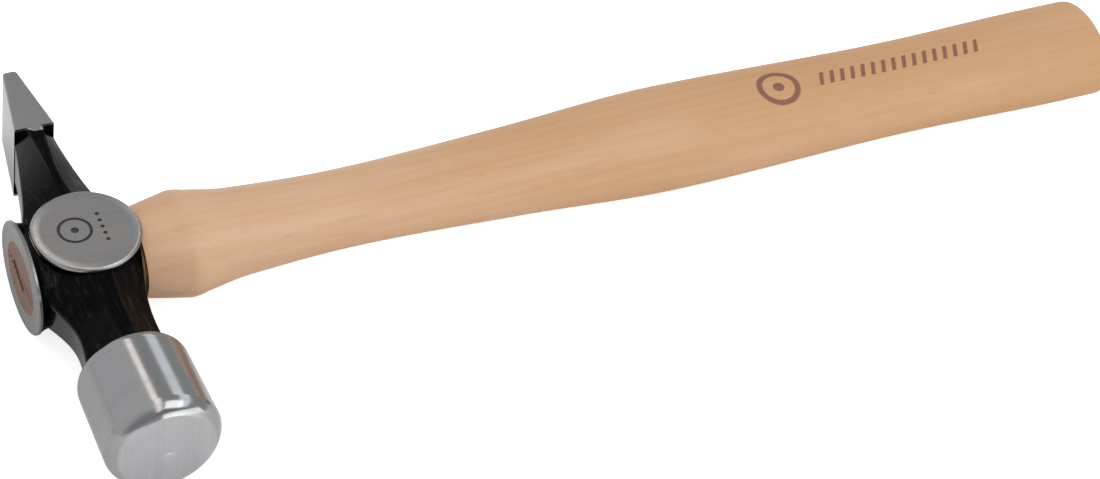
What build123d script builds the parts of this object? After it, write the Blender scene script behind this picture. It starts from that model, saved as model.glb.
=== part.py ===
from build123d import *
import math
import os

# Cross-pein hammer lying on one cheek: a forged steel head on a hickory handle, held by a
# timber wedge and a steel wedge. While it is modelled, the origin is the middle of the eye:
# +X runs from the crown of the head down the handle to its butt, +Y points to the pein,
# -Y to the striking face, and +Z out of the upper cheek. At the end every sub-part is moved
# together, so that the part stands on Z = 0 with its origin under the middle of its overall
# box. Sizes are millimetres. A width is along Y, a depth is along Z, and both are half sizes
# unless the name says whole.

# ---- head: the eye boss ----
cheek_radius = 14.0          # ground discs on both cheeks
cheek_reach = 12.2           # middle of the eye to each cheek face
cheek_offset = 0.7           # the discs sit this much nearer the handle than the head axis
cheek_edge = 0.85            # rounding between a disc and its upright lip
cheek_lip = 0.35             # straight part of that lip
cheek_cove = 2.6             # height of the hollow under the lip
cheek_waist = 12.6           # radius of the boss below the hollow
cheek_cove_side = 0.25       # the hollow's middle, as a share of the way out to the lip
cheek_cove_rise = 0.62       # and as a share of the way up to it
crown_reach = 16.1           # head axis to the ground crown face
crown_width = 15.6
crown_depth = 13.7
crown_lip = 0.9              # straight edge of the crown face, along X
crown_edge = 0.25            # bevel round that face
crown_cove = 3.4             # length of the hollow behind that edge
crown_waist_width = 15.0     # boss behind the hollow
crown_waist_depth = 11.6
crown_cove_place = 0.35      # the hollow's middle section, as a share of its length
crown_cove_share = 0.65      # and how far it has closed in on the boss by then
shoulder_reach = 13.4        # head axis to the flat that the wooden shoulder meets

# ---- head: the round poll ----
poll_back = 37.2             # head axis to the back of the poll
poll_back_radius = 14.5
poll_back_round = 3.5
poll_front_radius = 15.1     # the poll flares slightly towards its face
face_reach = 66.0            # head axis to the edge of the striking face
rim_length = 4.0             # the rim rounding starts this far behind that edge
rim_bulge = 0.65             # how far the rounding stands out from a plain bevel
face_radius = 11.8
face_crown = 0.8             # height of the domed striking face

# ---- head: the wedge-shaped pein ----
pein_base = 39.6             # head axis to the start of the wedge
pein_reach = 60.8            # head axis to the pein's edge
pein_base_thick = 5.25       # half thickness along X at the base and at the edge
pein_edge_thick = 1.8
pein_depth = 11.7
pein_edge_round = 1.1
pein_break = 0.3             # broken edges along the pein's two slopes

# ---- head: the forged necks ----
# Each station is an eight-sided section across Y, and holds: its place, the half sizes
# towards the handle, towards the crown and along Z, then the half lengths of the flat that
# faces along X and of the flat that faces along Z. Broad bevels join those flats.
neck_middle = (13.8, 16.0, 11.8, 9.0, 8.0)
neck_overlap = 2.0           # the two necks pass each other by this much in the boss
neck_root = 2.0              # each neck runs on this far into the poll or the pein
neck_corner = 0.9            # rounding between the flats and the bevels
poll_neck_stations = [
    (-9.0, 12.7, 15.0, 11.3, 5.8, 4.4),
    (-16.0, 11.2, 13.0, 10.7, 4.2, 2.6),
    (-23.0, 10.2, 10.6, 10.3, 3.7, 2.0),
    (-30.0, 10.0, 10.1, 10.2, 3.6, 1.9),
]
poll_neck_end = (10.2, 10.3, 10.4, 3.6, 2.0)
pein_neck_stations = [
    (9.0, 12.4, 13.4, 11.5, 5.2, 3.4),
    (17.0, 9.8, 10.3, 11.2, 4.2, 1.2),
    (24.0, 8.2, 8.3, 11.2, 4.0, 0.7),
    (32.0, 6.7, 6.5, 11.4, 4.6, 1.2),
]
pein_neck_end = (5.0, 4.9, 11.7, 6.8, 2.0)

# ---- head: the makers' punch marks on the upper cheek ----
ring_place = (-2.0, 0.6)     # middle of the stamped ring, along X and Y
ring_radius = 4.1
ring_line = 0.8              # whole width of the stamped line
ring_dot = 1.0               # radius of the dot inside the ring
mark_depth = 0.25            # whole depth of every mark
punch_count = 5              # small punch dots in a row along Y
punch_pitch = 2.3
punch_radius = 0.55
punch_place = 5.0            # the row's place along X

# ---- the eye: an oval hole with a double taper ----
eye_crown_width = 10.3
eye_crown_depth = 8.7
eye_waist_width = 9.6
eye_waist_depth = 7.8
eye_mouth_width = 10.0
eye_mouth_depth = 8.2
eye_waist_place = 2.0        # where the eye is narrowest, along X
fit_gap = 0.03               # gap round the wood in the eye, and round each wedge
shoulder_gap = 0.05          # gap between the head and the wooden shoulder
overrun = 1.0                # cutting shapes run this far past the faces that they cut

# ---- handle ----
handle_reach = 284.0         # head axis to the butt
butt_round = 4.5
shoulder_foot_width = 12.2   # wooden shoulder where it meets the head
shoulder_foot_depth = 10.7
shoulder_lead = 22.5         # head axis to a section just before the thickest place
shoulder_lead_width = 14.3
shoulder_lead_depth = 12.15
shoulder_place = 26.0        # head axis to the thickest place of the shoulder
shoulder_width = 14.9
shoulder_depth = 12.65
shoulder_tail = 30.5         # head axis to a section just after it
shoulder_tail_width = 14.15
shoulder_tail_depth = 11.75
throat_place = 41.0          # head axis to the curve below the shoulder
throat_width = 12.6
throat_depth = 9.95
neck_place = 70.0            # head axis to the thinnest place
neck_width = 11.6
neck_depth = 8.35
swell_width = 13.4           # half way between the neck and the grip
swell_depth = 9.3
grip_place = 126.0           # butt to the thickest place of the grip
grip_width = 15.8
grip_depth = 11.2
hollow_place = 57.0          # butt to the hollow behind the grip
hollow_width = 14.1
hollow_depth = 10.1
butt_place = 15.0            # butt to the swell that stops the hand
butt_width = 15.0
butt_depth = 10.4
section_spacing = 5.0        # the shaft is drawn through ovals this far apart

# ---- wedges, both driven in from the crown ----
timber_length = 19.0         # along X
timber_thick = 3.2           # whole thickness at the crown
timber_tip = 1.0             # whole thickness at the tip
kerf_length = 25.0           # saw cut that the timber wedge spreads
kerf_thick = 0.9             # whole thickness
steel_length = 15.0
steel_width = 4.3
steel_thick = 2.2            # whole thickness at the crown
steel_tip = 0.6
steel_sink = 0.3             # the steel wedge is driven this far below the crown face
steel_turn = 24.0            # degrees from the timber wedge
steel_offset = (1.6, -0.6)   # its middle, along Y and Z
barb_count = 4
barb_pitch = 2.9
barb_depth = 0.7
barb_start = 2.2             # outer end of the steel wedge to its first barb


def across_x(place):
    return Plane(origin=(place, 0, 0), x_dir=(0, 1, 0), z_dir=(1, 0, 0))


def oval(place, width, depth):
    return across_x(place) * Ellipse(width, depth)


def between(first, second, share):
    return first + (second - first) * share


def neck_section(place, to_handle, to_crown, depth, side_flat, top_flat):
    corners = [
        (to_handle, -side_flat), (to_handle, side_flat),
        (top_flat, depth), (-top_flat, depth),
        (-to_crown, side_flat), (-to_crown, -side_flat),
        (-top_flat, -depth), (top_flat, -depth),
    ]
    section = make_face(Polyline(*corners, close=True))
    section = fillet(section.vertices(), neck_corner)
    return Plane(origin=(0, place, 0), x_dir=(1, 0, 0), z_dir=(0, -1, 0)) * section


def make_cheek_boss(gap):
    """Two ground discs with a coved lip on a short round boss, larger all round by gap."""
    radius = cheek_radius + gap
    waist = cheek_waist + gap
    top = cheek_reach + gap
    lip_top = top - cheek_edge
    lip_foot = cheek_reach - cheek_edge - cheek_lip - gap
    cove_foot = lip_foot - cheek_cove
    cove_middle = (between(waist, radius, cheek_cove_side),
                   between(cove_foot, lip_foot, cheek_cove_rise))
    outline = Polyline((0, 0), (0, top), (radius - cheek_edge, top))
    outline += RadiusArc((radius - cheek_edge, top), (radius, lip_top), cheek_edge)
    outline += Line((radius, lip_top), (radius, lip_foot))
    outline += ThreePointArc((radius, lip_foot), cove_middle, (waist, cove_foot))
    outline += Polyline((waist, cove_foot), (waist, 0), (0, 0))
    upper = revolve(Plane.XZ * make_face(outline), Axis.Z)
    return Pos(cheek_offset, 0, 0) * (upper + mirror(upper, Plane.XY))


def make_crown_boss():
    """The oval crown: a straight ground edge, a hollow behind it, then the root of the boss."""
    edge_foot = -crown_reach + crown_lip
    cove_foot = edge_foot + crown_cove
    edge = extrude(oval(-crown_reach, crown_width, crown_depth), crown_lip)
    edge = chamfer(edge.faces().sort_by(Axis.X)[0].edges(), crown_edge)
    cove = loft([
        oval(edge_foot, crown_width, crown_depth),
        oval(between(edge_foot, cove_foot, crown_cove_place),
             between(crown_width, crown_waist_width, crown_cove_share),
             between(crown_depth, crown_waist_depth, crown_cove_share)),
        oval(cove_foot, crown_waist_width, crown_waist_depth),
    ])
    root = extrude(oval(cove_foot, crown_waist_width, crown_waist_depth), -cove_foot)
    return edge + cove + root


def make_necks():
    poll_side = [(neck_overlap, *neck_middle), *poll_neck_stations,
                 (-poll_back - neck_root, *poll_neck_end)]
    pein_side = [(-neck_overlap, *neck_middle), *pein_neck_stations,
                 (pein_base + neck_root, *pein_neck_end)]
    necks = loft([neck_section(*station) for station in poll_side])
    necks += loft([neck_section(*station) for station in pein_side])
    # The ground crown face and the flat at the handle's side end the necks along X.
    whole_head = 2 * (face_reach + pein_reach)
    reach = Pos((shoulder_reach - crown_reach) / 2, 0, 0) * Box(
        shoulder_reach + crown_reach, whole_head, whole_head)
    return necks & reach


def make_poll():
    back = (poll_back_radius - poll_back_round, -poll_back)
    back_corner = (poll_back_radius, -poll_back - poll_back_round)
    rim = (poll_front_radius, rim_length - face_reach)
    face_edge = (face_radius, -face_reach)
    face_top = (0, -face_reach - face_crown)
    slope = math.atan2(rim_length, poll_front_radius - face_radius)
    rim_middle = (between(rim[0], face_edge[0], 0.5) + rim_bulge * math.sin(slope),
                  between(rim[1], face_edge[1], 0.5) - rim_bulge * math.cos(slope))
    # The dome is part of a ball whose centre is on the poll's axis.
    ball = (face_radius ** 2 + face_crown ** 2) / (2 * face_crown)
    drop = ball - math.sqrt(ball ** 2 - (face_radius / 2) ** 2)
    face_middle = (face_radius / 2, face_top[1] + drop)
    outline = Polyline(face_top, (0, -poll_back), back)
    outline += RadiusArc(back, back_corner, poll_back_round)
    outline += Line(back_corner, rim)
    outline += ThreePointArc(rim, rim_middle, face_edge)
    outline += ThreePointArc(face_edge, face_middle, face_top)
    return revolve(make_face(outline), Axis.Y)


def make_pein():
    outline = Polyline(
        (-pein_base_thick, pein_base), (pein_base_thick, pein_base),
        (pein_edge_thick, pein_reach), (-pein_edge_thick, pein_reach), close=True)
    wedge = extrude(make_face(outline), pein_depth, both=True)
    wedge = fillet(wedge.edges().filter_by(Axis.Z).group_by(Axis.Y)[-1], pein_edge_round)
    # The edges round the two flat cheeks, except where the neck joins them.
    cheeks = [face for face in wedge.faces() if abs(face.normal_at().Z) > 0.9]
    edges = [edge for face in cheeks for edge in face.edges()
             if edge.center().Y > pein_base + pein_break]
    return chamfer(edges, pein_break)


def make_eye(gap, overrun_at_crown, overrun_at_mouth):
    """The oval double taper of the eye, made smaller all round by gap."""
    crown_size = (eye_crown_width - gap, eye_crown_depth - gap)
    mouth_size = (eye_mouth_width - gap, eye_mouth_depth - gap)
    eye = loft([
        oval(-crown_reach, *crown_size),
        oval(eye_waist_place, eye_waist_width - gap, eye_waist_depth - gap),
        oval(shoulder_reach, *mouth_size),
    ])
    if overrun_at_crown > 0:
        eye += extrude(oval(-crown_reach - overrun_at_crown, *crown_size), overrun_at_crown)
    return eye + extrude(oval(shoulder_reach, *mouth_size), overrun_at_mouth)


def make_marks():
    """Cutting tools for a plain ring with a dot, and a row of punch dots."""
    floor = cheek_reach - mark_depth
    ring_x, ring_y = ring_place
    ring = Circle(ring_radius + ring_line / 2) - Circle(ring_radius - ring_line / 2)
    marks = Pos(ring_x, ring_y, floor) * extrude(ring + Circle(ring_dot), 2 * mark_depth)
    first = -punch_pitch * (punch_count - 1) / 2
    for index in range(punch_count):
        dot = extrude(Circle(punch_radius), 2 * mark_depth)
        marks += Pos(punch_place, first + index * punch_pitch, floor) * dot
    return marks


def make_head():
    head = make_cheek_boss(0) + make_crown_boss() + make_necks() + make_poll() + make_pein()
    return head - make_eye(0, overrun, overrun) - make_marks()


def tapered_wedge(start, length, thick, tip, gap):
    """A flat wedge from start along +X, wider than the eye, with gap added on every side."""
    outline = Polyline(
        (start, -thick / 2 - gap), (start, thick / 2 + gap),
        (start + length + gap, tip / 2 + gap), (start + length + gap, -tip / 2 - gap),
        close=True)
    return extrude(Plane.XZ * make_face(outline), 2 * eye_crown_width, both=True)


def place_steel(shape):
    across, up = steel_offset
    return Pos(0, across, up) * Rot(steel_turn, 0, 0) * shape


def make_steel_pocket():
    blank = tapered_wedge(-crown_reach, steel_sink + steel_length, steel_thick, steel_tip, fit_gap)
    length = steel_sink + steel_length + fit_gap
    sides = Pos(-crown_reach + length / 2, 0, 0) * Box(
        length, 2 * (steel_width + fit_gap), 4 * steel_thick)
    return place_steel(blank & sides)


def make_steel_wedge():
    """A short steel wedge whose two narrow sides are cut into barbs."""
    start = -crown_reach + steel_sink
    side = [(start, steel_width)]
    for index in range(barb_count):
        place = start + barb_start + index * barb_pitch
        side += [(place, steel_width), (place + barb_depth / 2, steel_width - barb_depth)]
    side.append((start + steel_length, steel_width - barb_depth))
    other_side = [(x, -y) for x, y in reversed(side)]
    plate = extrude(make_face(Polyline(*side, *other_side, close=True)), steel_thick, both=True)
    return place_steel(plate & tapered_wedge(start, steel_length, steel_thick, steel_tip, 0))


def make_timber_wedge():
    blank = tapered_wedge(-crown_reach, timber_length, timber_thick, timber_tip, 0)
    return (blank & make_eye(fit_gap, 0, overrun)) - make_steel_pocket()


def smooth_profile(stations, place):
    """A smooth curve through the stations that never swells past them between two of them."""
    slopes = [(after[1] - before[1]) / (after[0] - before[0])
              for before, after in zip(stations, stations[1:])]
    leans = [slopes[0]]
    for before, after in zip(slopes, slopes[1:]):
        same_way = before * after > 0
        leans.append(2 * before * after / (before + after) if same_way else 0.0)
    leans.append(0.0)
    index = max(i for i in range(len(slopes)) if place >= stations[i][0] - 1e-6)
    start, low = stations[index]
    step = stations[index + 1][0] - start
    high = stations[index + 1][1]
    share = (place - start) / step
    return (low * (1 + 2 * share) * (1 - share) ** 2 + high * share ** 2 * (3 - 2 * share)
            + leans[index] * step * share * (1 - share) ** 2
            - leans[index + 1] * step * share ** 2 * (1 - share))


def make_shaft():
    foot = shoulder_reach + shoulder_gap
    grip = handle_reach - grip_place
    outline = [
        (foot, shoulder_foot_width, shoulder_foot_depth),
        (shoulder_lead, shoulder_lead_width, shoulder_lead_depth),
        (shoulder_place, shoulder_width, shoulder_depth),
        (shoulder_tail, shoulder_tail_width, shoulder_tail_depth),
        (throat_place, throat_width, throat_depth),
        (neck_place, neck_width, neck_depth),
        (between(neck_place, grip, 0.5), swell_width, swell_depth),
        (grip, grip_width, grip_depth),
        (handle_reach - hollow_place, hollow_width, hollow_depth),
        (handle_reach - butt_place, butt_width, butt_depth),
        (handle_reach, butt_width, butt_depth),
    ]
    widths = [(place, width) for place, width, depth in outline]
    depths = [(place, depth) for place, width, depth in outline]
    count = round((handle_reach - foot) / section_spacing)
    places = [between(foot, handle_reach, index / count) for index in range(count + 1)]
    shaft = loft([oval(place, smooth_profile(widths, place), smooth_profile(depths, place))
                  for place in places])
    butt_face = shaft.faces().sort_by(Axis.X)[-1]
    return fillet(butt_face.edges(), butt_round)


def make_handle():
    # The shoulder is relieved where it passes under the lips of the two discs.
    wood = make_shaft() - make_cheek_boss(shoulder_gap)
    wood += make_eye(fit_gap, 0, shoulder_gap + overrun)
    wood -= tapered_wedge(-crown_reach, timber_length, timber_thick, timber_tip, fit_gap)
    wood -= tapered_wedge(-crown_reach, kerf_length, kerf_thick, kerf_thick, 0)
    return wood - make_steel_pocket()


def main():
    parts = {
        "hammer_head": make_head(),
        "handle_shaft": make_handle(),
        "timber_wedge": make_timber_wedge(),
        "steel_wedge": make_steel_wedge(),
    }
    middle_x = (handle_reach - crown_reach) / 2
    middle_y = (pein_reach - face_reach - face_crown) / 2
    os.makedirs("parts", exist_ok=True)
    for name, shape in parts.items():
        placed = Pos(-middle_x, -middle_y, poll_front_radius) * shape
        placed.label = name
        export_step(placed, f"parts/{name}.step")
        print(name, round(placed.volume, 1), len(placed.solids()), placed.is_valid)


main()
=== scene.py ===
import math
from functools import reduce

import bpy
from bpy.props import FloatProperty, FloatVectorProperty, IntProperty, PointerProperty
from mathutils import Matrix, Vector


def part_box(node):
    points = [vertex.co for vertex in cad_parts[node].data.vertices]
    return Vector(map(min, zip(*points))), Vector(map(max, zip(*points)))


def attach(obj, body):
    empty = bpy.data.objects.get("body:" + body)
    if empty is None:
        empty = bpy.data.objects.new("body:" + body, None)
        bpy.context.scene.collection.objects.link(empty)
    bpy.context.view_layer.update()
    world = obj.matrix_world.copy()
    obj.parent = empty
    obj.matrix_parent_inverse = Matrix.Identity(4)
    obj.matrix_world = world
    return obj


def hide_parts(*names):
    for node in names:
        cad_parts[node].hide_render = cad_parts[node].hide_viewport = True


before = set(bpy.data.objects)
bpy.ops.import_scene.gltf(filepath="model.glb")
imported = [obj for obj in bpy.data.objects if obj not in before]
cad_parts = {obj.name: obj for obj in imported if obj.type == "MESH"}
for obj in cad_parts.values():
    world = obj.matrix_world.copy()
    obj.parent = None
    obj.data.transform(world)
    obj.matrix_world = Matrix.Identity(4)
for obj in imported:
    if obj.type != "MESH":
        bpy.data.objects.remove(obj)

bl_info = {
    "name": "Cross-pein hammer",
    "version": (1, 0, 0),
    "blender": (4, 5, 0),
    "location": "3D View > Sidebar > Hammer",
    "description": "Builds the finishes of a cross-pein hammer round its packed CAD frame",
    "category": "Object",
}

# The frame: metres, standing on Z = 0, with the handle along +X and the pein towards +Y.
bpy.context.view_layer.update()
BODY = "root"
MM = 0.001
HEAD_LOW, HEAD_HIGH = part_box("hammer_head")
POLL_RADIUS = (HEAD_HIGH.z - HEAD_LOW.z) / 2
CROWN_REACH = 16.1 * MM      # head axis to the crown face
PEIN_REACH = 60.8 * MM       # head axis to the edge of the pein
# Middle of the eye: every pattern on the head and on the handle is measured from it.
EYE = Vector((HEAD_LOW.x + CROWN_REACH, HEAD_HIGH.y - PEIN_REACH, HEAD_LOW.z + POLL_RADIUS))

# Head patterns, measured from the eye: where each ground face begins.
PAINT_EDGE = 0.05 * MM       # half the width of the step from enamel to steel
DISC_MIDDLE = 0.7 * MM       # the discs sit this much nearer the butt
DISC_START = 11.2 * MM
DISC_EDGE = 14.1 * MM        # just past the radius of the discs
DISC_ROLL = (11.2 * MM, 14.4 * MM)      # radii between which polishing has rolled them off
CROWN_START = 15.25 * MM
POLL_START = 37.21 * MM
FACE_BAND = (65.2 * MM, 65.9 * MM)      # fade from the poll's rim to the striking face
PEIN_START = 39.7 * MM
PEIN_FLAT_HEIGHT = 11.0 * MM            # its ground cheeks
PEIN_SLOPE_HEIGHT = 10.9 * MM           # its two slopes lie below this
SCALLOP_MIDDLE = 0.6 * MM
SCALLOP_WIDTH = (0.9 * MM, 3.0 * MM)    # the scalloped line rises between these, either side
SCALLOP_LINE = (38.0 * MM, 39.4 * MM)   # and from the first of these places to the second
GROUND_WOBBLE = 0.45 * MM
STAMP_HEIGHT = 12.13 * MM    # the stamped marks lie below this
STAMP_REACH = 9.5 * MM       # and this near the eye's middle
# How far each pattern of grinding lines is squeezed along its lines.
DISC_SQUEEZE, FACE_SQUEEZE, PEIN_SQUEEZE = 0.04, 0.05, (0.6, 0.05)

# Gloss of the head, as roughness.
GROUND_ROUGHNESS = (0.22, 0.32)
LACQUER_ROUGHNESS = (0.15, 0.26)
POLL_POLISH = 0.11           # the poll is this much smoother
STAMP_ROUGHNESS = 0.6
RUBBED_ROUGHNESS = 0.16
ENAMEL_SPECULAR = 0.012

# Handle stations from the head to the butt: name, place, half width, half depth, in mm.
SHOULDER_REACH = 13.45       # where the tenon ends and the wooden shoulder begins
STATIONS = (
    ("Foot", SHOULDER_REACH, 12.2, 10.7),
    ("Lead", 22.5, 14.3, 12.15),
    ("Shoulder", 26.0, 14.9, 12.65),
    ("Tail", 30.5, 14.15, 11.75),
    ("Throat", 41.0, 12.6, 9.95),
    ("Neck", 70.0, 11.6, 8.35),
    ("Swell", 114.0, 13.4, 9.3),
    ("Grip", 158.0, 15.8, 11.2),
    ("Hollow", 227.0, 14.1, 10.1),
    ("Butt", 269.0, 15.0, 10.4),
    ("End", 284.0, 15.0, 10.4),
)
# The tenon inside the eye: name, half width, half depth, in mm.
TENON = (("Start", 10.27, 8.67), ("Waist", 9.57, 7.77), ("End", 9.97, 8.17))
TENON_WAIST = 2.0 * MM       # where the tenon is thinnest
BUTT_ROUND = 4.5 * MM
HANDLE_ROWS, HANDLE_SIDES = 260, 128    # faces along the shaft, and round it
TENON_ROWS, ROUND_ROWS = 24.0, 14.0     # faces along the tenon, and over the butt's rounding
MERGE_DISTANCE = 0.001 * MM
SHARP_ANGLE = 38             # degrees
# Cuts in the tenon, in mm: name, inner end, half thickness outside and at that end, half width,
# degrees turned about X, and the shift of its middle along Y and Z. Each starts at CUT_START.
CUT_START = -17.0
TENON_CUTS = (
    ("kerf", 8.9, 0.45, 0.45, 12.0, 0.0, (0.0, 0.0)),
    ("wedge_slot", 2.93, 1.683, 0.53, 12.0, 0.0, (0.0, 0.0)),
    ("steel_slot", -0.8, 1.2, 0.32, 4.33, 24.0, (1.6, -0.6)),
)

# The burnt mark: a ring with a dot, then a row of bars that lean towards the butt.
RING_PLACE = 189.8 * MM
MARK_SHIFT = 1.0 * MM        # the whole mark lies this far towards the poll's side
RING_RADIUS, RING_HALF_LINE = 5.1 * MM, 0.75 * MM
DOT_RADIUS = 1.5 * MM
BARS_START, BARS_END = 11.0 * MM, 59.0 * MM     # from the ring's middle
BAR_PITCH, BAR_HALF_WIDTH, BAR_HALF_LENGTH = 3.0 * MM, 0.55 * MM, 2.1 * MM
BAR_LEAN = 0.35
BURN_ROUGHNESS = 0.35 * MM
BURN_EDGE = (-0.15 * MM, 0.22 * MM)
BURN_SIDE = 2.0 * MM         # it fades in over this height above the handle's middle

# Where the colour of the wood changes along the handle: painted light near the head, painted shade
# towards the butt, then the end grain at the crown and the butt.
HEAD_END_LIGHT_SPAN = (50.0 * MM, 130.0 * MM)
BUTT_END_SHADE_SPAN = (60.0 * MM, 230.0 * MM)
CROWN_GRAIN_SPAN = (-15.9 * MM, -15.0 * MM)
BUTT_GRAIN_SPAN = (282.5 * MM, 283.8 * MM)

# Fixed colours, as linear red, green, blue and alpha.
WHITE = (1.0, 1.0, 1.0, 1.0)
CROWN_STEEL = (0.17, 0.165, 0.16, 1.0)
LINE_STEEL = (0.20, 0.195, 0.19, 1.0)
FINGERED_STEEL = (0.30, 0.27, 0.24, 1.0)
STAMP_FILL = (0.02, 0.018, 0.016, 1.0)
CAST_ENAMEL = (0.0035, 0.003, 0.003, 1.0)
DUSTY_ENAMEL = (0.03, 0.028, 0.026, 1.0)
# Painted light: the paler wood laid near the head.
HEAD_END_PAINTED_LIGHT = (0.69, 0.47, 0.33, 1.0)
PINK_STREAK = (0.69, 0.46, 0.315, 1.0)
BROWN_STREAK = (0.55, 0.29, 0.12, 1.0)
# Painted shade: the darker wood laid towards the butt.
BUTT_END_PAINTED_SHADE = (0.50, 0.255, 0.10, 1.0)
PORE_WOOD = (0.30, 0.15, 0.07, 1.0)
FINGERED_WOOD = (0.40, 0.24, 0.14, 1.0)
STAINED_GRAIN = ((0.11, 0.062, 0.045, 1.0), (0.20, 0.065, 0.035, 1.0))
BUTT_GRAIN = (0.36, 0.20, 0.10, 1.0)
WEDGE_WOOD = ((0.24, 0.13, 0.085, 1.0), (0.13, 0.06, 0.04, 1.0))
WEDGE_PORE = (0.07, 0.03, 0.02, 1.0)
WEDGE_STEEL = (0.10, 0.09, 0.085, 1.0)
WEDGE_RUST = (0.13, 0.035, 0.015, 1.0)
WEDGE_SPECK = (0.03, 0.02, 0.015, 1.0)
BEHIND_LIGHT = (0.30, 0.30, 0.32, 1.0)


class HeadFinish(bpy.types.PropertyGroup):
    steel_colour: FloatVectorProperty(
        name="Ground steel", description="Colour of the ground faces",
        subtype="COLOR", default=(0.36, 0.36, 0.365), min=0, max=1)
    disc_colour: FloatVectorProperty(
        name="Discs", description="Colour of the ground discs and crown",
        subtype="COLOR", default=(0.35, 0.343, 0.338), min=0, max=1)
    # Painted light: the striking face is coloured lighter than the other ground steel, standing in
    # for the bright floor in front of it that it reflects.
    face_lit_colour: FloatVectorProperty(
        name="Striking face", description="Colour of the polished striking face",
        subtype="COLOR", default=(0.47, 0.47, 0.48), min=0, max=1)
    # Painted light: the pein's slopes are coloured lighter than the other ground steel, standing in
    # for the bright floor they reflect.
    pein_lit_colour: FloatVectorProperty(
        name="Pein", description="Colour of the two freshly ground slopes of the pein",
        subtype="COLOR", default=(0.60, 0.59, 0.58), min=0, max=1)
    enamel_colour: FloatVectorProperty(
        name="Enamel", description="Colour of the black enamel on the forged necks",
        subtype="COLOR", default=(0.0016, 0.0014, 0.0019), min=0, max=1)
    line_spacing: FloatProperty(
        name="Grinding lines", description="Width of one grinding line",
        unit="LENGTH", default=0.00022, min=0.00005, precision=5)


class HandleFinish(bpy.types.PropertyGroup):
    pale_colour: FloatVectorProperty(
        name="Pale wood", description="Colour of the early wood",
        subtype="COLOR", default=(0.635, 0.395, 0.23), min=0, max=1)
    dark_colour: FloatVectorProperty(
        name="Dark wood", description="Colour of the late wood",
        subtype="COLOR", default=(0.50, 0.27, 0.125), min=0, max=1)
    burn_colour: FloatVectorProperty(
        name="Burnt mark", description="Colour of the mark burnt into the grip",
        subtype="COLOR", default=(0.17, 0.055, 0.05), min=0, max=1)
    ring_spacing: FloatProperty(
        name="Growth rings", description="Distance from one growth ring to the next",
        unit="LENGTH", default=0.0026, min=0.0005, precision=4)
    rings_along: IntProperty(
        name="Sections", description="Rows of faces along the shaft",
        default=HANDLE_ROWS, min=40)
    sides: IntProperty(
        name="Sides", description="Faces round the shaft",
        default=HANDLE_SIDES, min=24)


class StudioSizes(bpy.types.PropertyGroup):
    floor_size: FloatProperty(
        name="Floor", description="Side of the square floor",
        unit="LENGTH", default=8.0, min=1)
    floor_colour: FloatVectorProperty(
        name="Floor colour", description="Colour of the floor",
        subtype="COLOR", default=(0.90, 0.90, 0.90), min=0, max=1)
    room_light: FloatVectorProperty(
        name="Room light", description="Light from the left half of the room",
        subtype="COLOR", default=(0.81, 0.82, 0.83), min=0, max=4)
    shade_light: FloatVectorProperty(
        name="Shaded side", description="Light from the right half of the room",
        subtype="COLOR", default=(0.52, 0.525, 0.53), min=0, max=4)


class Sheet:
    """Adds nodes to one tree and joins them."""

    def __init__(self, tree):
        self.tree = tree

    def feed(self, socket, value):
        if isinstance(value, bpy.types.NodeSocket):
            self.tree.links.new(value, socket)
        else:
            socket.default_value = value

    def add(self, kind, inputs=(), **settings):
        node = self.tree.nodes.new(kind)
        for name, value in settings.items():
            setattr(node, name, value)
        for key, value in dict(inputs).items():
            self.feed(node.inputs[key], value)
        return node

    def maths(self, operation, *values):
        node = self.add("ShaderNodeMath", enumerate(values), operation=operation)
        return node.outputs[0]

    def plus(self, first, second):
        return self.maths("ADD", first, second)

    def minus(self, first, second):
        return self.maths("SUBTRACT", first, second)

    def times(self, first, second):
        return self.maths("MULTIPLY", first, second)

    def vector(self, operation, *values):
        node = self.add("ShaderNodeVectorMath", enumerate(values), operation=operation)
        return node.outputs["Value" if operation in ("LENGTH", "DOT_PRODUCT") else "Vector"]

    def scaled(self, vector, x, y, z):
        return self.vector("MULTIPLY", vector, (x, y, z))

    def split(self, vector):
        return self.add("ShaderNodeSeparateXYZ", {0: vector}).outputs

    def join(self, x, y, z):
        return self.add("ShaderNodeCombineXYZ", {0: x, 1: y, 2: z}).outputs[0]

    def span(self, value, low, high, to_low=0.0, to_high=1.0, kind="SMOOTHSTEP"):
        """value read between low and high, as a smooth or straight step from to_low to to_high."""
        node = self.add("ShaderNodeMapRange",
                        {0: value, 1: low, 2: high, 3: to_low, 4: to_high},
                        interpolation_type=kind)
        return node.outputs[0]

    def mix(self, share, first, second):
        node = self.add("ShaderNodeMix", {0: share, 6: first, 7: second}, data_type="RGBA")
        return node.outputs[2]

    def layers(self, colour, *coats):
        """Lays each coat, a share and a colour, over what is below it."""
        for share, over in coats:
            colour = self.mix(share, colour, over)
        return colour

    def blend(self, share, first, second):
        node = self.add("ShaderNodeMix", {0: share, 2: first, 3: second}, data_type="FLOAT")
        return node.outputs[0]

    def noise(self, vector, scale, detail=3.0, roughness=0.5, distortion=0.0):
        node = self.add("ShaderNodeTexNoise", {
            "Vector": vector, "Scale": scale, "Detail": detail, "Roughness": roughness,
            "Distortion": distortion})
        return node.outputs[0]

    def cells(self, vector, scale):
        node = self.add("ShaderNodeTexVoronoi", {"Vector": vector, "Scale": scale})
        return node.outputs["Distance"]

    def smallest(self, *values):
        return reduce(lambda first, second: self.maths("MINIMUM", first, second), values)

    def largest(self, *values):
        return reduce(lambda first, second: self.maths("MAXIMUM", first, second), values)


def rgb(colour):
    return (*tuple(colour)[:3], 1.0)


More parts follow.
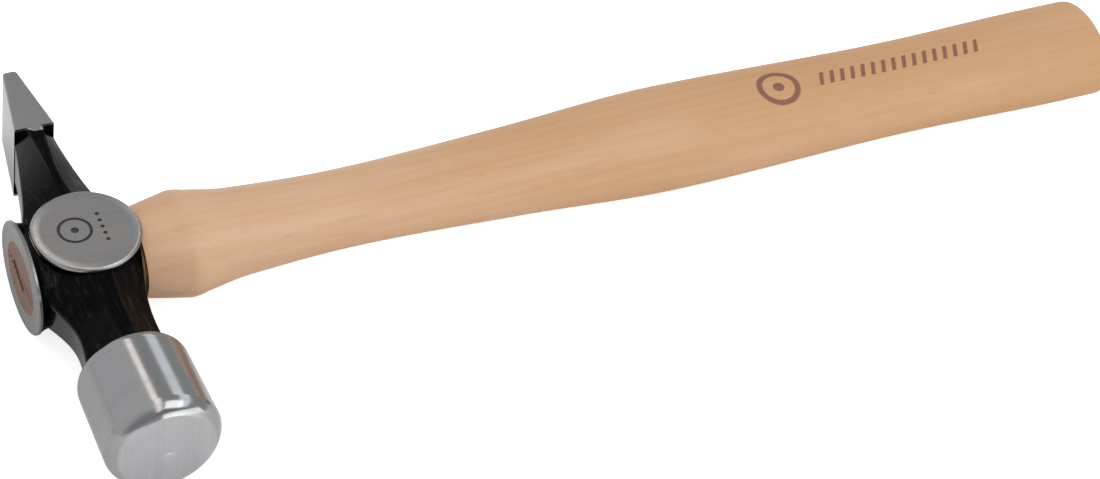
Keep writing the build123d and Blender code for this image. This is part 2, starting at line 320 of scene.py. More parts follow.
def new_group(name, kind, inputs, outputs):
    """A node group with its sockets; returns it, its sheet, its input sockets and output node."""
    tree = bpy.data.node_groups.new(name, kind)
    for label, socket, value in inputs:
        made = tree.interface.new_socket(name=label, in_out="INPUT", socket_type=socket)
        if value is not None:
            made.default_value = value
    for label, socket in outputs:
        tree.interface.new_socket(name=label, in_out="OUTPUT", socket_type=socket)
    sheet = Sheet(tree)
    return tree, sheet, tree.nodes.new("NodeGroupInput").outputs, tree.nodes.new("NodeGroupOutput")


# ---------------------------------------------------------------- shared effects

def grinding_group():
    """Fine grinding lines: long along one way and narrow across it."""
    tree, s, given, out = new_group(
        "Grinding lines", "ShaderNodeTree",
        [("Vector", "NodeSocketVector", None), ("Line Width", "NodeSocketFloat", 0.0002),
         ("Unevenness", "NodeSocketFloat", 0.5)],
        [("Shade", "NodeSocketFloat"), ("Gloss", "NodeSocketFloat"), ("Height", "NodeSocketFloat")])
    per_line = s.maths("DIVIDE", 1.0, given["Line Width"])
    lines = s.vector("SCALE", given["Vector"])
    s.feed(lines.node.inputs["Scale"], per_line)
    fine = s.noise(lines, 1.0, 2.0, 0.6)
    broad = s.noise(lines, 0.12, 3.0, 0.6)
    patches = s.noise(given["Vector"], 120.0, 3.0, 0.55)
    shade = s.plus(s.times(fine, 0.45), s.times(broad, 0.55))
    s.feed(out.inputs["Shade"], s.blend(given["Unevenness"], shade, patches))
    s.feed(out.inputs["Gloss"], s.plus(s.times(broad, 0.6),
                                        s.times(patches, 0.4)))
    s.feed(out.inputs["Height"], s.plus(s.times(fine, 0.6),
                                         s.times(broad, 0.4)))
    return tree


def wood_group():
    """Solid wood: growth rings round a distant pith, fibres and pores along X."""
    tree, s, given, out = new_group(
        "Ring porous wood", "ShaderNodeTree",
        [("Vector", "NodeSocketVector", None), ("Ring Spacing", "NodeSocketFloat", 0.0026),
         ("Pith Y", "NodeSocketFloat", 0.075), ("Pith Z", "NodeSocketFloat", 0.055)],
        [("Rings", "NodeSocketFloat"), ("Fibres", "NodeSocketFloat"),
         ("Pores", "NodeSocketFloat"), ("Patches", "NodeSocketFloat"),
         ("Height", "NodeSocketFloat")])
    along = given["Vector"]
    drift = s.noise(s.scaled(along, 5.0, 28.0, 28.0), 1.0, 2.0, 0.5)
    wander = s.noise(s.scaled(along, 16.0, 90.0, 90.0), 1.0, 3.0, 0.55)
    y, z = s.split(along)[1:]
    from_pith = s.vector("LENGTH", s.join(
        0.0, s.minus(y, given["Pith Y"]), s.minus(z, given["Pith Z"])))
    from_pith = s.plus(from_pith, s.times(drift, 7.0 * MM))
    from_pith = s.plus(from_pith, s.times(wander, 1.6 * MM))
    turn = s.maths("FRACT", s.maths("DIVIDE", from_pith, given["Ring Spacing"]))
    rise = s.span(turn, 0.05, 0.80, 0.0, 1.0)
    fall = s.span(turn, 0.86, 1.0, 1.0, 0.0)
    rings = s.times(rise, fall)
    fibres = s.noise(s.scaled(along, 38.0, 1500.0, 1500.0), 1.0, 3.0, 0.65)
    grain = s.noise(s.scaled(along, 110.0, 3600.0, 3600.0), 1.0, 2.0, 0.5)
    pores = s.span(grain, 0.30, 0.42, 1.0, 0.0)
    early = s.span(turn, 0.0, 0.30, 1.0, 0.0)
    pores = s.times(pores, s.plus(s.times(early, 0.8), 0.2))
    patches = s.noise(s.scaled(along, 9.0, 45.0, 45.0), 1.0, 3.0, 0.5)
    height = s.minus(s.times(fibres, 0.5), pores)
    for name, value in (("Rings", rings), ("Fibres", fibres), ("Pores", pores),
                        ("Patches", patches), ("Height", height)):
        s.feed(out.inputs[name], value)
    return tree


def handling_group():
    """Faint fingermarks and dust, which change the gloss more than the colour."""
    tree, s, given, out = new_group(
        "Handling marks", "ShaderNodeTree",
        [("Vector", "NodeSocketVector", None), ("Amount", "NodeSocketFloat", 0.5)],
        [("Smudge", "NodeSocketFloat"), ("Specks", "NodeSocketFloat")])
    cloud = s.noise(given["Vector"], 42.0, 4.0, 0.6, 0.4)
    smudge = s.times(s.span(cloud, 0.42, 0.72), given["Amount"])
    dots = s.cells(given["Vector"], 900.0)
    specks = s.times(s.span(dots, 0.08, 0.16, 1.0, 0.0), given["Amount"])
    s.feed(out.inputs["Smudge"], smudge)
    s.feed(out.inputs["Specks"], specks)
    return tree


def new_material(name):
    material = bpy.data.materials.new(name)
    material.use_nodes = True
    material.node_tree.nodes.clear()
    sheet = Sheet(material.node_tree)
    shader = sheet.add("ShaderNodeBsdfPrincipled")
    sheet.add("ShaderNodeOutputMaterial", {"Surface": shader.outputs[0]})
    place = sheet.add("ShaderNodeTexCoord").outputs["Object"]
    from_eye = sheet.vector("SUBTRACT", place, tuple(EYE))
    return material, sheet, shader, from_eye


def effect(sheet, tree, **inputs):
    kind = "ShaderNodeGroup" if tree.type == "SHADER" else "GeometryNodeGroup"
    node = sheet.add(kind, node_tree=tree)
    for name, value in inputs.items():
        sheet.feed(node.inputs[name.replace("_", " ")], value)
    return node.outputs


def bump(sheet, height, distance, strength, under=None):
    inputs = {"Height": height, "Distance": distance, "Strength": strength}
    if under is not None:
        inputs["Normal"] = under
    return sheet.add("ShaderNodeBump", inputs).outputs[0]


# ---------------------------------------------------------------- the forged head

def head_masks(s, at):
    """Where the head is ground down to the steel, face by face, and where it is stamped."""
    x, y, z = s.split(at)
    height = s.maths("ABSOLUTE", z)
    wobble = s.times(s.minus(s.noise(at, scale=900.0), 0.5), GROUND_WOBBLE)

    def beyond(value, limit):
        return s.span(s.minus(value, limit), -PAINT_EDGE, PAINT_EDGE)

    from_disc = s.vector("LENGTH", s.join(s.minus(x, DISC_MIDDLE), y, 0.0))
    disc = s.times(beyond(height, DISC_START), beyond(s.times(from_disc, -1.0), -DISC_EDGE))
    crown = beyond(s.times(x, -1.0), CROWN_START)
    poll = beyond(s.times(y, -1.0), POLL_START)
    face = s.span(s.times(y, -1.0), *FACE_BAND)
    # The grinding of the pein's cheeks ends in a scalloped line.
    scallop = s.span(s.maths("ABSOLUTE", s.minus(x, SCALLOP_MIDDLE)), *SCALLOP_WIDTH,
                     *SCALLOP_LINE)
    flat_y = s.minus(s.plus(y, wobble), scallop)
    flats = s.times(beyond(height, PEIN_FLAT_HEIGHT), beyond(flat_y, 0.0))
    pein = s.largest(beyond(y, PEIN_START), flats)
    slopes = s.times(pein, beyond(PEIN_SLOPE_HEIGHT, height))
    # Marks stamped in the upper disc keep their dark filling.
    from_mark = s.vector("LENGTH", s.join(x, y, 0.0))
    stamped = s.times(s.times(beyond(STAMP_HEIGHT, z), disc), beyond(STAMP_REACH, from_mark))
    # Polishing has rolled the discs off a little towards their edges.
    rolled = s.times(s.span(from_disc, *DISC_ROLL, 1.0, 0.0), disc)
    return {"disc": disc, "crown": crown, "poll": poll, "face": face, "pein": pein,
            "slopes": slopes, "stamped": stamped, "rolled": rolled,
            "ground": s.largest(disc, crown, poll, pein)}


def head_lines(s, at, mask):
    """Coordinates of the grinding lines, which are long along the way that is squeezed."""
    x, y, z = s.split(at)
    round_poll = s.join(0.0, y, 0.0)
    over_disc = s.join(s.times(x, DISC_SQUEEZE), y, s.times(z, DISC_SQUEEZE))
    across_pein = s.join(s.times(x, PEIN_SQUEEZE[0]), s.times(y, PEIN_SQUEEZE[1]), z)
    over_face = s.join(x, y, s.times(z, FACE_SQUEEZE))
    lines = s.mix(mask["pein"], s.mix(mask["poll"], over_disc, round_poll), across_pein)
    return s.mix(mask["face"], lines, over_face)


def head_material(finish, grinding, handling):
    """Ground steel on the discs, crown, poll and pein, and black enamel everywhere else."""
    material, s, shader, at = new_material("forged_steel_finish")
    mask = head_masks(s, at)
    ground, poll, stamped = mask["ground"], mask["poll"], mask["stamped"]
    enamelled = s.minus(1.0, ground)
    line = effect(s, grinding, Vector=head_lines(s, at, mask),
                  Line_Width=finish.line_spacing, Unevenness=0.25)
    mark = effect(s, handling, Vector=at, Amount=0.5)
    smudge = mark["Smudge"]

    steel = s.layers(
        rgb(finish.steel_colour),
        # Painted light: the pein's slopes are laid lighter than the other ground steel, for the
        # bright floor they reflect.
        (mask["slopes"], rgb(finish.pein_lit_colour)),
        (s.largest(mask["disc"], mask["crown"]), rgb(finish.disc_colour)),
        (s.times(mask["crown"], 0.5), CROWN_STEEL),
        # Painted light: the striking face is laid lighter than the other ground steel, for the
        # bright floor in front of it that it reflects.
        (mask["face"], rgb(finish.face_lit_colour)),
        (s.span(line["Shade"], 0.35, 0.65, to_high=0.30, kind="LINEAR"), LINE_STEEL),
        (s.times(smudge, 0.22), FINGERED_STEEL),
        (s.times(stamped, 0.85), STAMP_FILL))
    cast = s.noise(at, scale=260.0, detail=4.0, roughness=0.6)
    enamel = s.layers(
        rgb(finish.enamel_colour),
        (s.span(cast, 0.4, 0.7), CAST_ENAMEL),
        (s.times(mark["Specks"], 0.15), DUSTY_ENAMEL))
    s.feed(shader.inputs["Base Color"], s.mix(ground, enamel, steel))
    s.feed(shader.inputs["Metallic"], s.times(
        ground, s.span(stamped, 0.0, 1.0, to_low=1.0, to_high=0.25, kind="LINEAR")))

    polish = s.span(line["Gloss"], 0.35, 0.65, *GROUND_ROUGHNESS, kind="LINEAR")
    polish = s.minus(polish, s.times(poll, POLL_POLISH))
    polish = s.plus(polish, s.times(smudge, 0.05))
    polish = s.blend(stamped, polish, STAMP_ROUGHNESS)
    lacquer = s.span(cast, 0.35, 0.7, *LACQUER_ROUGHNESS, kind="LINEAR")
    lacquer = s.plus(lacquer, s.times(smudge, 0.08))
    s.feed(shader.inputs["Roughness"], s.blend(ground, lacquer, polish))
    shader.inputs["Specular IOR Level"].default_value = ENAMEL_SPECULAR

    # The forging runs lengthways along the two necks; the flats towards the crown are rubbed.
    drawn = s.noise(s.scaled(at, 900.0, 110.0, 700.0), scale=1.0, roughness=0.6)
    side = s.split(s.add("ShaderNodeNewGeometry").outputs["True Normal"])[0]
    rubbed = s.largest(s.span(side, -0.55, -0.92, to_high=0.85),
                       s.span(drawn, 0.50, 0.72, to_low=0.06, to_high=0.30))
    s.feed(shader.inputs["Coat Weight"], s.times(rubbed, enamelled))
    shader.inputs["Coat Roughness"].default_value = RUBBED_ROUGHNESS

    cut = s.times(line["Height"], s.minus(ground, s.times(poll, 0.7)))
    relief = bump(s, cut, distance=0.008 * MM, strength=0.4)
    pitted = s.noise(at, scale=520.0, roughness=0.55)
    skin = s.times(s.plus(s.times(drawn, 0.7), s.times(pitted, 0.3)), enamelled)
    relief = bump(s, skin, distance=0.12 * MM, strength=0.6, under=relief)
    relief = bump(s, mask["rolled"], distance=0.35 * MM, strength=0.8, under=relief)
    s.feed(shader.inputs["Normal"], relief)
    return material


class HAMMER_OT_head(bpy.types.Operator):
    """Finish the forged head: ground steel faces and black enamel necks"""

    bl_idname = "hammer.head"
    bl_label = "Forged head"

    def execute(self, context):
        material = head_material(context.scene.hammer_head, grinding_group(), handling_group())
        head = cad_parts["hammer_head"]
        head.data.materials.clear()
        head.data.materials.append(material)
        return {"FINISHED"}


# ---------------------------------------------------------------- the handle

def span_group():
    """One stretch of an outline: how far a half size moves from one station to the next."""
    tree, s, given, out = new_group(
        "Outline stretch", "GeometryNodeTree",
        [("Place", "NodeSocketFloat", 0.0), ("Start", "NodeSocketFloat", 0.0),
         ("End", "NodeSocketFloat", 1.0), ("From", "NodeSocketFloat", 0.0),
         ("To", "NodeSocketFloat", 0.0), ("Lean In", "NodeSocketFloat", 0.0),
         ("Lean Out", "NodeSocketFloat", 0.0)],
        [("Change", "NodeSocketFloat")])
    share = s.span(given["Place"], given["Start"], given["End"], 0.0, 1.0, "LINEAR")
    left = s.minus(1.0, share)
    step = s.minus(given["End"], given["Start"])
    eased = s.times(s.times(share, share), s.minus(3.0, s.times(share, 2.0)))
    change = s.times(eased, s.minus(given["To"], given["From"]))
    both = s.times(s.times(share, left), step)
    lean_in = s.times(s.times(both, left), given["Lean In"])
    lean_out = s.times(s.times(both, share), given["Lean Out"])
    change = s.minus(s.plus(change, lean_in), lean_out)
    s.feed(out.inputs["Change"], change)
    return tree


def leans(places, sizes):
    """The slope of a smooth outline at each station; zero where the outline turns back."""
    slopes = [(b - a) / (q - p) for p, q, a, b in zip(places, places[1:], sizes, sizes[1:])]
    result = [slopes[0]]
    for before, after in zip(slopes, slopes[1:]):
        result.append(2 * before * after / (before + after) if before * after > 0 else 0.0)
    return result + [0.0]


def handle_tree(material):
    """The handle's rule: ovals along X that follow the stations, closed at both ends."""
    places = (("Tenon Start", -CROWN_REACH), ("Tenon Waist", TENON_WAIST),
              ("Tenon End", SHOULDER_REACH * MM))
    inputs = [("Rows", "NodeSocketInt", HANDLE_ROWS), ("Sides", "NodeSocketInt", HANDLE_SIDES),
              ("Butt Round", "NodeSocketFloat", BUTT_ROUND)]
    inputs += [(name, "NodeSocketFloat", place) for name, place in places]
    for name, width, depth in TENON:
        inputs += [(f"Tenon {name} Width", "NodeSocketFloat", width * MM),
                   (f"Tenon {name} Depth", "NodeSocketFloat", depth * MM)]
    for name, place, width, depth in STATIONS:
        inputs += [(f"{name} Place", "NodeSocketFloat", place * MM),
                   (f"{name} Width", "NodeSocketFloat", width * MM),
                   (f"{name} Depth", "NodeSocketFloat", depth * MM)]
    tree, s, given, out = new_group("Turned handle", "GeometryNodeTree", inputs,
                                    [("Geometry", "NodeSocketGeometry")])
    stretch = span_group()

    step_row = 1.0 + TENON_ROWS
    shaft_row = step_row + 1.0
    round_row = s.plus(given["Rows"], shaft_row)
    flat_row = s.plus(round_row, ROUND_ROWS)
    last_row = s.plus(flat_row, 1.0)
    grid = s.add("GeometryNodeMeshGrid", {
        "Size X": 1.0, "Size Y": 1.0, "Vertices X": s.plus(last_row, 1.0),
        "Vertices Y": s.plus(given["Sides"], 1.0)})
    px, py = s.split(s.add("GeometryNodeInputPosition").outputs[0])[:2]
    row = s.maths("ROUND", s.times(s.plus(px, 0.5), last_row))
    angle = s.times(s.plus(py, 0.5), 2 * math.pi)

    # Where each row lies along X.
    straight_end = s.minus(given["End Place"], given["Butt Round"])
    x_tenon = s.span(row, 1.0, step_row, given["Tenon Start"], given["Tenon End"], "LINEAR")
    x_shaft = s.span(row, shaft_row, round_row, given["Foot Place"], straight_end, "LINEAR")
    on_shaft = s.span(row, step_row, shaft_row, 0.0, 1.0, "LINEAR")
    turn = s.span(row, round_row, flat_row, 0.0, math.pi / 2, "LINEAR")
    x = s.blend(on_shaft, x_tenon, x_shaft)
    x = s.plus(x, s.times(given["Butt Round"], s.maths("SINE", turn)))
    inset = s.times(given["Butt Round"],
                    s.minus(1.0, s.maths("COSINE", turn)))
    closed = s.times(s.span(row, 0.0, 1.0, 0.0, 1.0, "LINEAR"),
                     s.span(row, flat_row, last_row, 1.0, 0.0, "LINEAR"))

    halves = {}
    for side, column in (("Width", 2), ("Depth", 3)):
        places = [station[1] for station in STATIONS]
        slopes = leans(places, [station[column] for station in STATIONS])
        total = given[f"Foot {side}"]
        for index, (before, after) in enumerate(zip(STATIONS, STATIONS[1:])):
            change = effect(s, stretch, Place=x, Start=given[f"{before[0]} Place"],
                            End=given[f"{after[0]} Place"], From=given[f"{before[0]} {side}"],
                            To=given[f"{after[0]} {side}"], Lean_In=slopes[index],
                            Lean_Out=slopes[index + 1])["Change"]
            total = s.plus(total, change)
        to_waist = s.span(x, given["Tenon Start"], given["Tenon Waist"],
                          given[f"Tenon Start {side}"], given[f"Tenon Waist {side}"], "LINEAR")
        beyond_waist = s.minus(given[f"Tenon End {side}"], given[f"Tenon Waist {side}"])
        to_end = s.span(x, given["Tenon Waist"], given["Tenon End"], 0.0, beyond_waist, "LINEAR")
        half = s.blend(on_shaft, s.plus(to_waist, to_end), total)
        halves[side] = s.times(s.minus(half, inset), closed)

    y = s.times(halves["Width"], s.maths("COSINE", angle))
    z = s.times(halves["Depth"], s.maths("SINE", angle))
    place = s.vector("ADD", s.join(x, y, z), tuple(EYE))
    moved = s.add("GeometryNodeSetPosition", {"Geometry": grid.outputs[0], "Position": place})
    merged = s.add("GeometryNodeMergeByDistance", {
        "Geometry": moved.outputs[0], "Distance": MERGE_DISTANCE})
    shaded = s.add("GeometryNodeSetShadeSmooth", {"Geometry": merged.outputs[0]})
    real = s.add("GeometryNodeRealizeInstances", {"Geometry": shaded.outputs[0]})
    dressed = s.add("GeometryNodeSetMaterial", {
        "Geometry": real.outputs[0], "Material": material})
    s.feed(out.inputs[0], dressed.outputs[0])
    return tree


def run_tree(name, tree, values):
    """Runs a Geometry Nodes tree on an empty mesh and keeps the result as a plain mesh object."""
    seed = bpy.data.objects.new(name + "_seed", bpy.data.meshes.new(name + "_seed"))
    bpy.context.scene.collection.objects.link(seed)
    modifier = seed.modifiers.new("nodes", "NODES")
    modifier.node_group = tree
    for item in tree.interface.items_tree:
        if item.item_type == "SOCKET" and item.in_out == "INPUT" and item.name in values:
            modifier[item.identifier] = values[item.name]
    seed.update_tag()
    shape = bpy.data.meshes.new_from_object(
        seed.evaluated_get(bpy.context.evaluated_depsgraph_get()))
    bpy.data.objects.remove(seed)
    piece = bpy.data.objects.new(name, shape)
    shape.name = name
    bpy.context.scene.collection.objects.link(piece)
    return piece


def cut_away(piece, cutters):
    """Cuts the shapes of other meshes out of a piece."""
    for cutter in cutters:
        modifier = piece.modifiers.new("cut", "BOOLEAN")
        modifier.object, modifier.operation, modifier.solver = cutter, "DIFFERENCE", "EXACT"
        shape = bpy.data.meshes.new_from_object(
            piece.evaluated_get(bpy.context.evaluated_depsgraph_get()))
        piece.modifiers.remove(modifier)
        piece.data = shape
        bpy.data.objects.remove(cutter)


def tapered_cutter(name, end, thick, tip, reach, turn, shift):
    """A cutter that tapers along X from CUT_START to its end, turned about X and shifted."""
    outline = [(CUT_START, -thick), (end, -tip), (end, tip), (CUT_START, thick)]
    count = len(outline)
    points = [(x, y, z) for y in (-reach, reach) for x, z in outline]
    faces = [tuple(range(count)), tuple(range(2 * count - 1, count - 1, -1))]
    faces += [(i, count + i, count + (i + 1) % count, (i + 1) % count) for i in range(count)]
    shape = bpy.data.meshes.new(name)
    shape.from_pydata([Vector(p) * MM for p in points], [], faces)
    shape.transform(Matrix.Translation(EYE + Vector((0.0, *shift)) * MM)
                    @ Matrix.Rotation(math.radians(turn), 4, "X"))
    shape.validate()
    cutter = bpy.data.objects.new(name, shape)
    bpy.context.scene.collection.objects.link(cutter)
    return cutter


def burnt_mark(s, at):
    """A plain ring with a dot, then a row of slanted bars, on the upper side of the grip."""
    x, y, z = s.split(at)
    rough = s.times(s.minus(s.noise(at, scale=1400.0, detail=2.0), 0.5), BURN_ROUGHNESS)
    out_x = s.minus(x, RING_PLACE)
    out_y = s.plus(y, MARK_SHIFT)
    reach = s.vector("LENGTH", s.join(out_x, out_y, 0.0))
    ring = s.minus(s.maths("ABSOLUTE", s.minus(reach, RING_RADIUS)), RING_HALF_LINE)
    dot = s.minus(reach, DOT_RADIUS)
    # The bars repeat along X and lean towards the butt.
    lean_x = s.minus(out_x, s.times(out_y, BAR_LEAN))
    beat = s.minus(s.maths("MODULO", s.minus(lean_x, BARS_START), BAR_PITCH), BAR_PITCH / 2)
    bar = s.largest(s.minus(s.maths("ABSOLUTE", beat), BAR_HALF_WIDTH),
                    s.minus(s.maths("ABSOLUTE", out_y), BAR_HALF_LENGTH),
                    s.minus(BARS_START, lean_x),
                    s.minus(lean_x, BARS_END))
    nearest = s.plus(s.smallest(ring, dot, bar), rough)
    burnt = s.span(nearest, *BURN_EDGE, to_low=1.0, to_high=0.0)
    return s.times(burnt, s.span(z, 0.0, BURN_SIDE))


def hickory_material(finish, wood, handling):
    """Oiled hickory, stained at the crown, with the burnt mark on the grip."""
    material, s, shader, at = new_material("hickory_finish")
    figure = effect(s, wood, Vector=at, Ring_Spacing=finish.ring_spacing)
    mark = effect(s, handling, Vector=at, Amount=0.6)
    x = s.split(at)[0]
    tone = s.plus(s.times(figure["Rings"], 0.12), s.times(figure["Fibres"], 0.30))
    tone = s.plus(tone, s.times(figure["Patches"], 0.50))
    streak = s.noise(s.scaled(at, 12.0, 150.0, 150.0), scale=1.0)
    stain = s.mix(s.span(s.noise(at, scale=190.0), 0.45, 0.62), *STAINED_GRAIN)
    burnt = burnt_mark(s, at)
    # Paler, pinker streaks and warm brown ones; painted light makes the wood paler near the head,
    # and painted shade makes it darker towards the butt.
    # End grain drinks more finish, so the crown and the butt are darker.
    s.feed(shader.inputs["Base Color"], s.layers(
        rgb(finish.pale_colour),
        (s.span(tone, 0.22, 0.95, kind="LINEAR"), rgb(finish.dark_colour)),
        (s.span(x, *HEAD_END_LIGHT_SPAN, to_low=0.30, to_high=0.0), HEAD_END_PAINTED_LIGHT),
        (s.span(streak, 0.50, 0.70, to_high=0.5), PINK_STREAK),
        (s.span(streak, 0.46, 0.30, to_high=0.35), BROWN_STREAK),
        (s.span(x, *BUTT_END_SHADE_SPAN, to_high=0.45), BUTT_END_PAINTED_SHADE),
        (s.times(figure["Pores"], 0.35), PORE_WOOD),
        (s.times(mark["Smudge"], 0.10), FINGERED_WOOD),
        (s.times(s.span(x, *CROWN_GRAIN_SPAN, to_low=1.0, to_high=0.0), 0.85), stain),
        (s.times(s.span(x, *BUTT_GRAIN_SPAN), 0.35), BUTT_GRAIN),
        (s.times(burnt, 0.82), rgb(finish.burn_colour))))
    gloss = s.span(figure["Fibres"], 0.3, 0.7, to_low=0.42, to_high=0.56, kind="LINEAR")
    gloss = s.plus(gloss, s.times(mark["Smudge"], 0.10))
    gloss = s.plus(gloss, s.times(burnt, 0.2))
    s.feed(shader.inputs["Roughness"], gloss)
    shader.inputs["Specular IOR Level"].default_value = 0.4
    relief = bump(s, figure["Height"], distance=0.05 * MM, strength=0.5)
    relief = bump(s, s.times(burnt, -1.0), distance=0.12 * MM, strength=0.8, under=relief)
    s.feed(shader.inputs["Normal"], relief)
    return material


class HAMMER_OT_handle(bpy.types.Operator):
    """Build the hickory handle from its stations, with its tenon, saw kerf and burnt mark"""

    bl_idname = "hammer.handle"
    bl_label = "Hickory handle"

    def execute(self, context):
        finish = context.scene.hammer_handle
        material = hickory_material(finish, wood_group(), bpy.data.node_groups["Handling marks"])
        tree = handle_tree(material)
        handle = run_tree("hickory_handle", tree,
                          {"Rows": finish.rings_along, "Sides": finish.sides})
        if not handle.data.polygons:
            raise RuntimeError("the handle's node tree made no faces")
        cut_away(handle, [tapered_cutter(*cut) for cut in TENON_CUTS])
        handle.data.set_sharp_from_angle(angle=math.radians(SHARP_ANGLE))
        handle.data.materials.clear()
        handle.data.materials.append(material)
        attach(handle, BODY)
        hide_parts("handle_shaft")
        return {"FINISHED"}


# ---------------------------------------------------------------- the wedges

def wedge_materials(wood, handling):
    """Dark end grain for the timber wedge, and rusting steel for the barbed one."""
    timber, s, shader, at = new_material("wedge_timber_finish")
    # The wedge is another piece of wood, so its figure is read from elsewhere.
    figure = effect(s, wood, Vector=s.vector("ADD", at, (0.03, 0.011, 0.017)),
                    Ring_Spacing=1.4 * MM)
    colour = s.layers(s.mix(figure["Rings"], *WEDGE_WOOD),
                      (s.times(figure["Pores"], 0.6), WEDGE_PORE))
    s.feed(shader.inputs["Base Color"], colour)
    s.feed(shader.inputs["Roughness"], s.span(
        figure["Fibres"], 0.3, 0.7, to_low=0.55, to_high=0.75, kind="LINEAR"))
    relief = bump(s, figure["Height"], distance=0.08 * MM, strength=0.7)
    s.feed(shader.inputs["Normal"], relief)

    steel, s, shader, at = new_material("wedge_steel_finish")
    mark = effect(s, handling, Vector=at, Amount=1.0)
    rust = s.span(s.noise(at, scale=700.0, detail=5.0, roughness=0.7), 0.46, 0.60)
    colour = s.layers(WEDGE_STEEL, (rust, WEDGE_RUST), (mark["Specks"], WEDGE_SPECK))
    s.feed(shader.inputs["Base Color"], colour)
    s.feed(shader.inputs["Metallic"], s.span(
        rust, 0.0, 1.0, to_low=0.9, to_high=0.0, kind="LINEAR"))
    s.feed(shader.inputs["Roughness"], s.span(
        rust, 0.0, 1.0, to_low=0.42, to_high=0.85, kind="LINEAR"))
    pits = s.noise(at, scale=1500.0, detail=4.0, roughness=0.6)
    relief = bump(s, pits, distance=0.06 * MM, strength=0.8)
    s.feed(shader.inputs["Normal"], relief)
    return timber, steel


class HAMMER_OT_wedges(bpy.types.Operator):
    """Finish the timber wedge and the barbed steel wedge in the eye"""

    bl_idname = "hammer.wedges"
    bl_label = "Wedges"

    def execute(self, context):
        groups = bpy.data.node_groups
        made = wedge_materials(groups["Ring porous wood"], groups["Handling marks"])
        for node, material in zip(("timber_wedge", "steel_wedge"), made):
            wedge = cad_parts[node]
            wedge.data.materials.clear()
            wedge.data.materials.append(material)
        return {"FINISHED"}


# ---------------------------------------------------------------- the stage

CAMERA_AIM = Vector((-0.02473, -0.03638, 0.02971))
CAMERA_AZIMUTH = 27.107      # degrees round from -Y towards -X
CAMERA_ELEVATION = 44.5575
CAMERA_ROLL = 7.103
CAMERA_DISTANCE = 1.2
CAMERA_LENS, CAMERA_SENSOR = 157.16, 36.0       # mm
CAMERA_CLIP = (0.05, 50.0)

# The paper's own light: what the camera sees, and what its front gives off, from Y to Y.
SEEN_GLOW = 0.75
FRONT_GLOW, FRONT_SPAN = 0.24, (0.02, -0.20)
# The room by direction: it darkens towards +X, and behind the camera down to BEHIND_LIGHT.
ROOM_SPLIT = (-0.10, 0.12)
BEHIND_Y, BEHIND_Z, BEHIND_SHARE = (-0.30, -0.75), (-0.05, 0.10), 0.75

# Soft boxes: name, direction from the head, distance, long way, length, width, watts, colour.
LAMPS = (
    ("overhead_strip", (0.005, 0.0, 1.0), 0.95, (0, 1, 0), 2.4, 0.19, 2.2, (1.0, 0.91, 0.84)),
    ("right_box", (0.74, 0.10, 0.67), 1.25, (0, 1, 0), 2.6, 0.42, 3.8, (0.86, 0.93, 1.0)),
    ("front_right_box", (0.42, -0.48, 0.77), 1.20, (0, 1, 0), 0.75, 0.62, 3.2, (0.95, 0.98, 1.0)),
    ("front_low_box", (0.75, -1.0, 0.16), 1.60, (1, 0, 0), 1.8, 0.60, 6.0, (1.0, 0.99, 0.97)),
)


def floor_material(colour):
    """Matt studio paper."""
    material, s, shader, at = new_material("studio_paper")
    tone = s.noise(at, scale=3.0, detail=2.0)
    deep = tuple(c * 0.985 for c in colour)
    s.feed(shader.inputs["Base Color"], s.mix(tone, rgb(colour), rgb(deep)))
    s.feed(shader.inputs["Roughness"], s.span(
        tone, 0.3, 0.7, to_low=0.85, to_high=0.95, kind="LINEAR"))
    shader.inputs["Specular IOR Level"].default_value = 0.1
    # The camera sees the paper glow all over; every other ray gets a weaker glow from its front.
    seen = s.add("ShaderNodeLightPath").outputs["Is Camera Ray"]
    front = s.span(s.split(at)[1], *FRONT_SPAN, to_high=FRONT_GLOW)
    shader.inputs["Emission Color"].default_value = WHITE
    s.feed(shader.inputs["Emission Strength"], s.blend(seen, front, SEEN_GLOW))
    return material


def camera_axes():
    azimuth, elevation, roll = map(math.radians, (CAMERA_AZIMUTH, CAMERA_ELEVATION, CAMERA_ROLL))
    back = Vector((-math.sin(azimuth) * math.cos(elevation),
                   -math.cos(azimuth) * math.cos(elevation), math.sin(elevation)))
    level = Vector((math.cos(azimuth), -math.sin(azimuth), 0.0))
    upright = back.cross(level)
    right = level * math.cos(roll) + upright * math.sin(roll)
    return right, back.cross(right), back


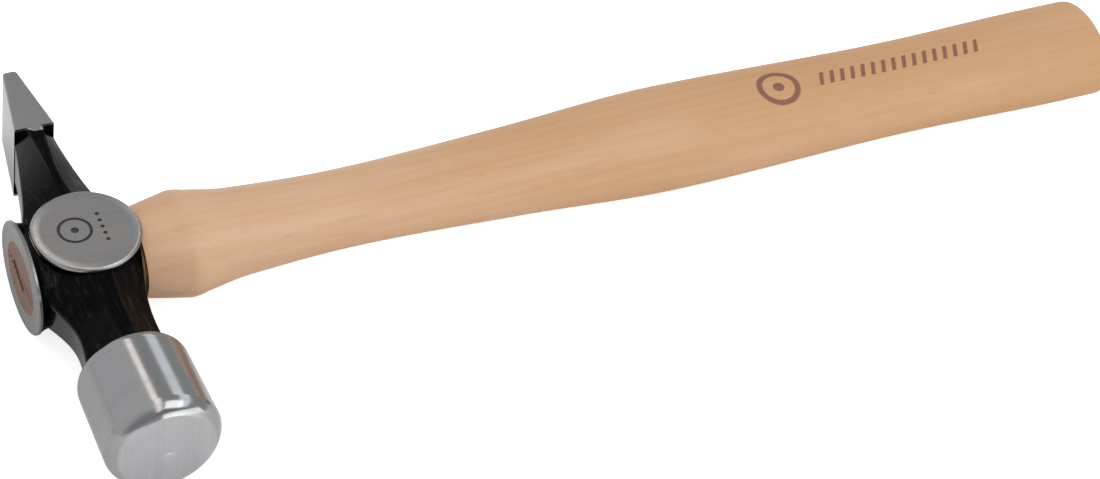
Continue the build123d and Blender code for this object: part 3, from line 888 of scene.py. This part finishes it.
class HAMMER_OT_stage(bpy.types.Operator):
    """Set up the pale floor, the soft lights and the camera"""

    bl_idname = "hammer.stage"
    bl_label = "Stage"

    def execute(self, context):
        scene, sizes = context.scene, context.scene.hammer_stage
        half = sizes.floor_size / 2
        shape = bpy.data.meshes.new("studio_floor")
        shape.from_pydata([(-half, -half, 0), (half, -half, 0), (half, half, 0), (-half, half, 0)],
                          [], [(0, 1, 2, 3)])
        shape.materials.append(floor_material(tuple(sizes.floor_colour)))
        floor = bpy.data.objects.new("studio_floor", shape)
        scene.collection.objects.link(floor)

        world = bpy.data.worlds.new("white_room")
        world.use_nodes = True
        sheet = Sheet(world.node_tree)
        x, y, z = sheet.split(sheet.add("ShaderNodeTexCoord").outputs["Generated"])
        # The right half of the room and the part behind the camera are darker.
        light = sheet.mix(sheet.span(x, *ROOM_SPLIT), rgb(sizes.room_light),
                          rgb(sizes.shade_light))
        behind = sheet.times(sheet.span(y, *BEHIND_Y), sheet.span(z, *BEHIND_Z))
        light = sheet.mix(sheet.times(behind, BEHIND_SHARE), light, BEHIND_LIGHT)
        sheet.feed(world.node_tree.nodes["Background"].inputs["Color"], light)
        scene.world = world

        for name, direction, distance, long_way, length, width, watts, colour in LAMPS:
            lamp = bpy.data.lights.new(name, "AREA")
            lamp.shape, lamp.size, lamp.size_y = "RECTANGLE", width, length
            lamp.energy, lamp.color = watts, colour
            box = bpy.data.objects.new(name, lamp)
            aim = Vector(direction).normalized()
            across = Vector(long_way).cross(aim).normalized()
            turned = Matrix((across, aim.cross(across), aim)).transposed().to_4x4()
            box.matrix_world = Matrix.Translation(EYE + aim * distance) @ turned
            scene.collection.objects.link(box)

        right, upright, back = camera_axes()
        lens = bpy.data.cameras.new("camera")
        lens.lens, lens.sensor_width = CAMERA_LENS, CAMERA_SENSOR
        lens.clip_start, lens.clip_end = CAMERA_CLIP
        camera = bpy.data.objects.new("camera", lens)
        turned = Matrix((right, upright, back)).transposed().to_4x4()
        camera.matrix_world = Matrix.Translation(CAMERA_AIM + back * CAMERA_DISTANCE) @ turned
        scene.collection.objects.link(camera)
        scene.camera = camera
        scene.view_settings.view_transform = "Standard"
        return {"FINISHED"}


class HAMMER_PT_parts(bpy.types.Panel):
    """Lists the steps that build the hammer, with their sizes and colours"""

    bl_label = "Cross-pein hammer"
    bl_idname = "HAMMER_PT_parts"
    bl_space_type = "VIEW_3D"
    bl_region_type = "UI"
    bl_category = "Hammer"

    def draw(self, context):
        scene = context.scene
        for operator, group in (("hammer.head", scene.hammer_head),
                                ("hammer.handle", scene.hammer_handle),
                                ("hammer.wedges", None),
                                ("hammer.stage", scene.hammer_stage)):
            box = self.layout.box()
            box.operator(operator)
            if group is not None:
                for name in group.bl_rna.properties.keys():
                    if name not in ("rna_type", "name"):
                        box.prop(group, name)


GROUPS = (("hammer_head", HeadFinish), ("hammer_handle", HandleFinish),
          ("hammer_stage", StudioSizes))
CLASSES = (HeadFinish, HandleFinish, StudioSizes, HAMMER_OT_head, HAMMER_OT_handle,
           HAMMER_OT_wedges, HAMMER_OT_stage, HAMMER_PT_parts)


def register():
    for made in CLASSES:
        bpy.utils.register_class(made)
    for name, group in GROUPS:
        setattr(bpy.types.Scene, name, PointerProperty(type=group))


def unregister():
    for name, _ in GROUPS:
        delattr(bpy.types.Scene, name)
    for made in reversed(CLASSES):
        bpy.utils.unregister_class(made)


def main():
    register()
    bpy.ops.hammer.head()
    bpy.ops.hammer.handle()
    bpy.ops.hammer.wedges()
    bpy.ops.hammer.stage()
    bpy.context.view_layer.update()


if __name__ == "__main__":
    main()
